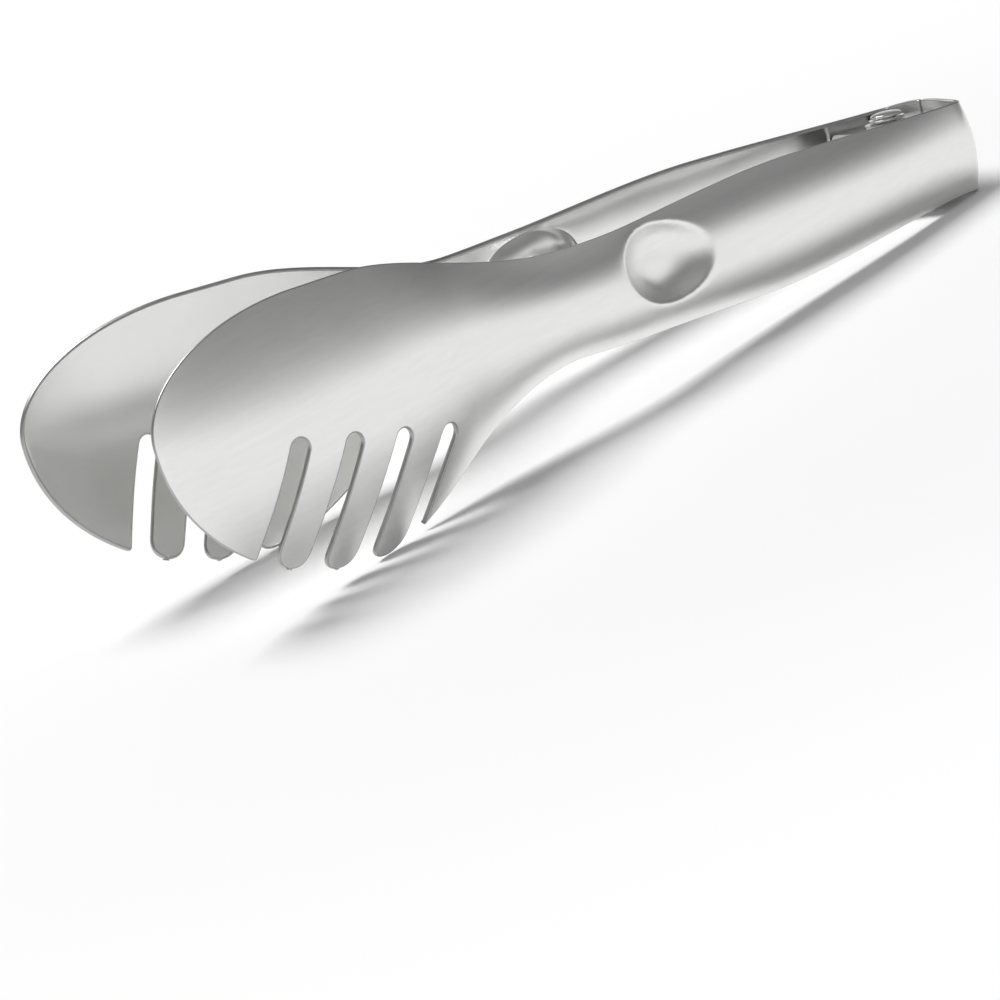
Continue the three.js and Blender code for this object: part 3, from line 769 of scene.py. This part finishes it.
def make_spring(material):
    path, climb = spring_path()
    along = np.gradient(path, axis=0)
    along /= np.linalg.norm(along, axis=1, keepdims=True)
    side = np.cross(along, [0, 0, 1])
    side /= np.linalg.norm(side, axis=1, keepdims=True)
    up = np.cross(side, along)
    turn = 2 * math.pi * np.arange(WIRE_SIDES) / WIRE_SIDES
    points, normals = [], []
    for centre, s, u in zip(path, side, up):
        around = np.cos(turn)[:, None] * s + np.sin(turn)[:, None] * u
        points.append(centre + WIRE_RADIUS * around)
        normals.append(around)
    faces = []
    for ring in range(len(path) - 1):
        for i in range(WIRE_SIDES):
            j = (i + 1) % WIRE_SIDES
            first, second = ring * WIRE_SIDES, (ring + 1) * WIRE_SIDES
            faces.append((first + i, first + j, second + j, second + i))
    count = len(path) * WIRE_SIDES
    for end, way in ((0, -along[0]), (len(path) - 1, along[-1])):
        points.append((path[end] + way * WIRE_RADIUS * WIRE_END_BULGE)[None, :])
        normals.append(way[None, :])
        for i in range(WIRE_SIDES):
            faces.append((end * WIRE_SIDES + i, end * WIRE_SIDES + (i + 1) % WIRE_SIDES, count))
        count += 1
    points, normals = np.concatenate(points), np.concatenate(normals)
    sides = [OUT_SIDE] * len(faces)
    spring = piece("torsion_spring_wire", points, normals, faces, sides, [material])
    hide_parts("torsion_spring")
    levels = (-climb * TWIST_SHARE, climb * TWIST_SHARE)
    twist = [HINGE_FRAME @ Vector((0, 0, (HINGE_MIDDLE + level) * MM)) for level in levels]
    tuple(twist[0])
    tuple(twist[1])
    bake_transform(spring)


def node(tree, kind, place, **settings):
    made = tree.nodes.new(kind)
    made.location = place
    for name, value in settings.items():
        setattr(made, name, value)
    return made


def steel(name):
    """Steel whose colour and roughness follow fine marks, stretched by the grain along each axis."""
    look = STEELS[name]
    material = bpy.data.materials.new(name)
    material.use_nodes = True
    tree = material.node_tree
    shader = tree.nodes["Principled BSDF"]
    shader.inputs["Metallic"].default_value = 1
    place = node(tree, "ShaderNodeTexCoord", (-1100, 0))
    mapping = node(tree, "ShaderNodeMapping", (-900, 0))
    mapping.inputs["Scale"].default_value = look["grain"]
    marks = node(tree, "ShaderNodeTexNoise", (-700, 100))
    marks.inputs["Scale"].default_value = 1
    marks.inputs["Detail"].default_value = MARK_DETAIL
    marks.inputs["Roughness"].default_value = MARK_ROUGHNESS
    wear = node(tree, "ShaderNodeTexNoise", (-700, -200))
    wear.inputs["Scale"].default_value = WEAR_SCALE
    wear.inputs["Detail"].default_value = WEAR_DETAIL
    colour = node(tree, "ShaderNodeValToRGB", (-450, 250))
    for element, position, tint in zip(colour.color_ramp.elements, MARK_RANGE, ("dark", "pale")):
        element.position = position
        element.color = (*look[tint], 1)
    blend = node(tree, "ShaderNodeMath", (-450, -50), operation="MULTIPLY_ADD")
    blend.inputs[1].default_value = MARK_SHARE
    spread = node(tree, "ShaderNodeMath", (-450, -250), operation="MULTIPLY")
    spread.inputs[1].default_value = WEAR_SHARE
    gloss = node(tree, "ShaderNodeMapRange", (-250, -50))
    gloss.inputs["From Min"].default_value, gloss.inputs["From Max"].default_value = ROUGHNESS_RANGE
    gloss.inputs["To Min"].default_value, gloss.inputs["To Max"].default_value = look["roughness"]
    relief = node(tree, "ShaderNodeBump", (-250, -350))
    relief.inputs["Strength"].default_value = look["bump"]
    relief.inputs["Distance"].default_value = RELIEF_DEPTH
    link = tree.links.new
    link(place.outputs["Object"], mapping.inputs["Vector"])
    link(place.outputs["Object"], wear.inputs["Vector"])
    link(mapping.outputs["Vector"], marks.inputs["Vector"])
    link(marks.outputs["Fac"], colour.inputs["Fac"])
    link(wear.outputs["Fac"], spread.inputs[0])
    link(marks.outputs["Fac"], blend.inputs[0])
    link(spread.outputs["Value"], blend.inputs[2])
    link(blend.outputs["Value"], gloss.inputs["Value"])
    link(marks.outputs["Fac"], relief.inputs["Height"])
    link(colour.outputs["Color"], shader.inputs["Base Color"])
    link(gloss.outputs["Result"], shader.inputs["Roughness"])
    link(relief.outputs["Normal"], shader.inputs["Normal"])
    return material


def tone_ramp(tree, tones, place):
    """A ramp of greys, each a position and a tone."""
    made = node(tree, "ShaderNodeValToRGB", place)
    ramp = made.color_ramp
    for position, _ in tones[2:]:
        ramp.elements.new(position)
    for element, (position, tone) in zip(ramp.elements, tones):
        element.position = position
        element.color = (tone, tone, tone, 1)
    return made


def make_floor():
    """A wide pale floor with a slight mottle, which runs out into plain white, seen or reflected."""
    mesh = bpy.data.meshes.new("floor")
    corners = [(-FLOOR_REACH, -FLOOR_REACH, 0), (FLOOR_REACH, -FLOOR_REACH, 0)]
    corners += [(FLOOR_REACH, FLOOR_REACH, 0), (-FLOOR_REACH, FLOOR_REACH, 0)]
    mesh.from_pydata(corners, [], [(0, 1, 2, 3)])
    floor = bpy.data.objects.new("floor", mesh)
    bpy.context.scene.collection.objects.link(floor)
    material = bpy.data.materials.new("floor_paint")
    material.use_nodes = True
    tree = material.node_tree
    shader = tree.nodes["Principled BSDF"]
    shader.inputs["Roughness"].default_value = FLOOR_ROUGHNESS
    shader.inputs["Specular IOR Level"].default_value = FLOOR_SPECULAR
    place = node(tree, "ShaderNodeTexCoord", (-900, 0))
    mottle = node(tree, "ShaderNodeTexNoise", (-500, 0))
    mottle.inputs["Scale"].default_value = MOTTLE_SCALE
    tone = tone_ramp(tree, FLOOR_TONES, (-300, 0))
    distance = node(tree, "ShaderNodeVectorMath", (-700, -300), operation="LENGTH")
    far = node(tree, "ShaderNodeMapRange", (-500, -300), interpolation_type="SMOOTHSTEP")
    far.inputs["From Min"].default_value = FLOOR_NEAR
    far.inputs["From Max"].default_value = FLOOR_FAR
    path = node(tree, "ShaderNodeLightPath", (-900, -600))
    seen = node(tree, "ShaderNodeMath", (-700, -600), operation="MAXIMUM")
    shown = node(tree, "ShaderNodeMath", (-500, -600), operation="MAXIMUM")
    share = node(tree, "ShaderNodeMath", (-300, -400), operation="MULTIPLY")
    white = node(tree, "ShaderNodeEmission", (-100, -300))
    white.inputs["Color"].default_value = (1, 1, 1, 1)
    both = node(tree, "ShaderNodeMixShader", (300, 0))
    link = tree.links.new
    link(place.outputs["Object"], mottle.inputs["Vector"])
    link(mottle.outputs["Fac"], tone.inputs["Fac"])
    link(tone.outputs["Color"], shader.inputs["Base Color"])
    link(place.outputs["Object"], distance.inputs[0])
    link(distance.outputs["Value"], far.inputs["Value"])
    link(path.outputs["Is Camera Ray"], seen.inputs[0])
    link(path.outputs["Is Glossy Ray"], seen.inputs[1])
    link(seen.outputs["Value"], shown.inputs[0])
    link(path.outputs["Is Transmission Ray"], shown.inputs[1])
    link(far.outputs["Result"], share.inputs[0])
    link(shown.outputs["Value"], share.inputs[1])
    link(share.outputs["Value"], both.inputs["Fac"])
    link(shader.outputs["BSDF"], both.inputs[1])
    link(white.outputs["Emission"], both.inputs[2])
    link(both.outputs["Shader"], tree.nodes["Material Output"].inputs["Surface"])
    mesh.materials.append(material)


def make_world():
    """A studio that is white at eye level, greyer overhead and shaded beyond the end of the handle."""
    world = bpy.data.worlds.new("studio")
    bpy.context.scene.world = world
    world.use_nodes = True
    tree = world.node_tree
    background = tree.nodes["Background"]
    place = node(tree, "ShaderNodeTexCoord", (-800, 0))
    split = node(tree, "ShaderNodeSeparateXYZ", (-600, 0))
    height = node(tree, "ShaderNodeMapRange", (-400, 0))
    height.inputs["From Min"].default_value = -1
    tones = tone_ramp(tree, SKY_TONES, (-200, 0))
    shade = node(tree, "ShaderNodeMapRange", (-400, -300), interpolation_type="SMOOTHSTEP")
    shade.inputs["From Min"].default_value = SHADE_FROM
    shade.inputs["From Max"].default_value = SHADE_TO
    shade.inputs["To Min"].default_value = 1
    shade.inputs["To Max"].default_value = SHADE_TONE
    link = tree.links.new
    link(place.outputs["Generated"], split.inputs["Vector"])
    link(split.outputs["X"], shade.inputs["Value"])
    link(shade.outputs["Result"], background.inputs["Strength"])
    link(split.outputs["Z"], height.inputs["Value"])
    link(height.outputs["Result"], tones.inputs["Fac"])
    link(tones.outputs["Color"], background.inputs["Color"])


def make_lamp():
    lamp = bpy.data.lights.new("key", "AREA")
    lamp.shape = "RECTANGLE"
    lamp.size = lamp.size_y = KEY_SIZE
    lamp.energy = KEY_POWER
    made = bpy.data.objects.new("key", lamp)
    made.location = KEY_PLACE
    aim = Vector(KEY_TARGET) - Vector(KEY_PLACE)
    made.rotation_euler = aim.to_track_quat("-Z", "Y").to_euler()
    bpy.context.scene.collection.objects.link(made)


def make_camera():
    data = bpy.data.cameras.new("camera")
    data.lens = VIEW_LENS
    data.sensor_width = SENSOR_WIDTH
    data.clip_start = CLIP_START
    camera = bpy.data.objects.new("camera", data)
    bpy.context.scene.collection.objects.link(camera)
    bpy.context.scene.camera = camera
    flat = math.cos(VIEW_ELEVATION)
    east, north = math.sin(VIEW_AZIMUTH), math.cos(VIEW_AZIMUTH)
    back = Vector((east * flat, -north * flat, math.sin(VIEW_ELEVATION)))
    right = Vector((north, east, 0))
    up = back.cross(right)
    rolled_right = math.cos(VIEW_ROLL) * right - math.sin(VIEW_ROLL) * up
    rolled_up = math.sin(VIEW_ROLL) * right + math.cos(VIEW_ROLL) * up
    turn = Matrix((rolled_right, rolled_up, back)).transposed().to_4x4()
    place = Matrix.Translation((Vector(VIEW_TARGET) + back * VIEW_DISTANCE) * MM)
    camera.matrix_world = HINGE_FRAME @ place @ turn


make_camera()
# The third steel, on the cut edges, is painted darker as shade along the rims
make_arms([steel("satin_steel"), steel("polished_steel"), steel("cut_edge_painted_shade_steel")])
hinge_steel = steel("hinge_steel")
make_brackets(hinge_steel)
make_hinge(hinge_steel)
make_spring(steel("wire_steel"))
make_floor()
make_world()
make_lamp()
bpy.context.scene.view_settings.view_transform = "Standard"
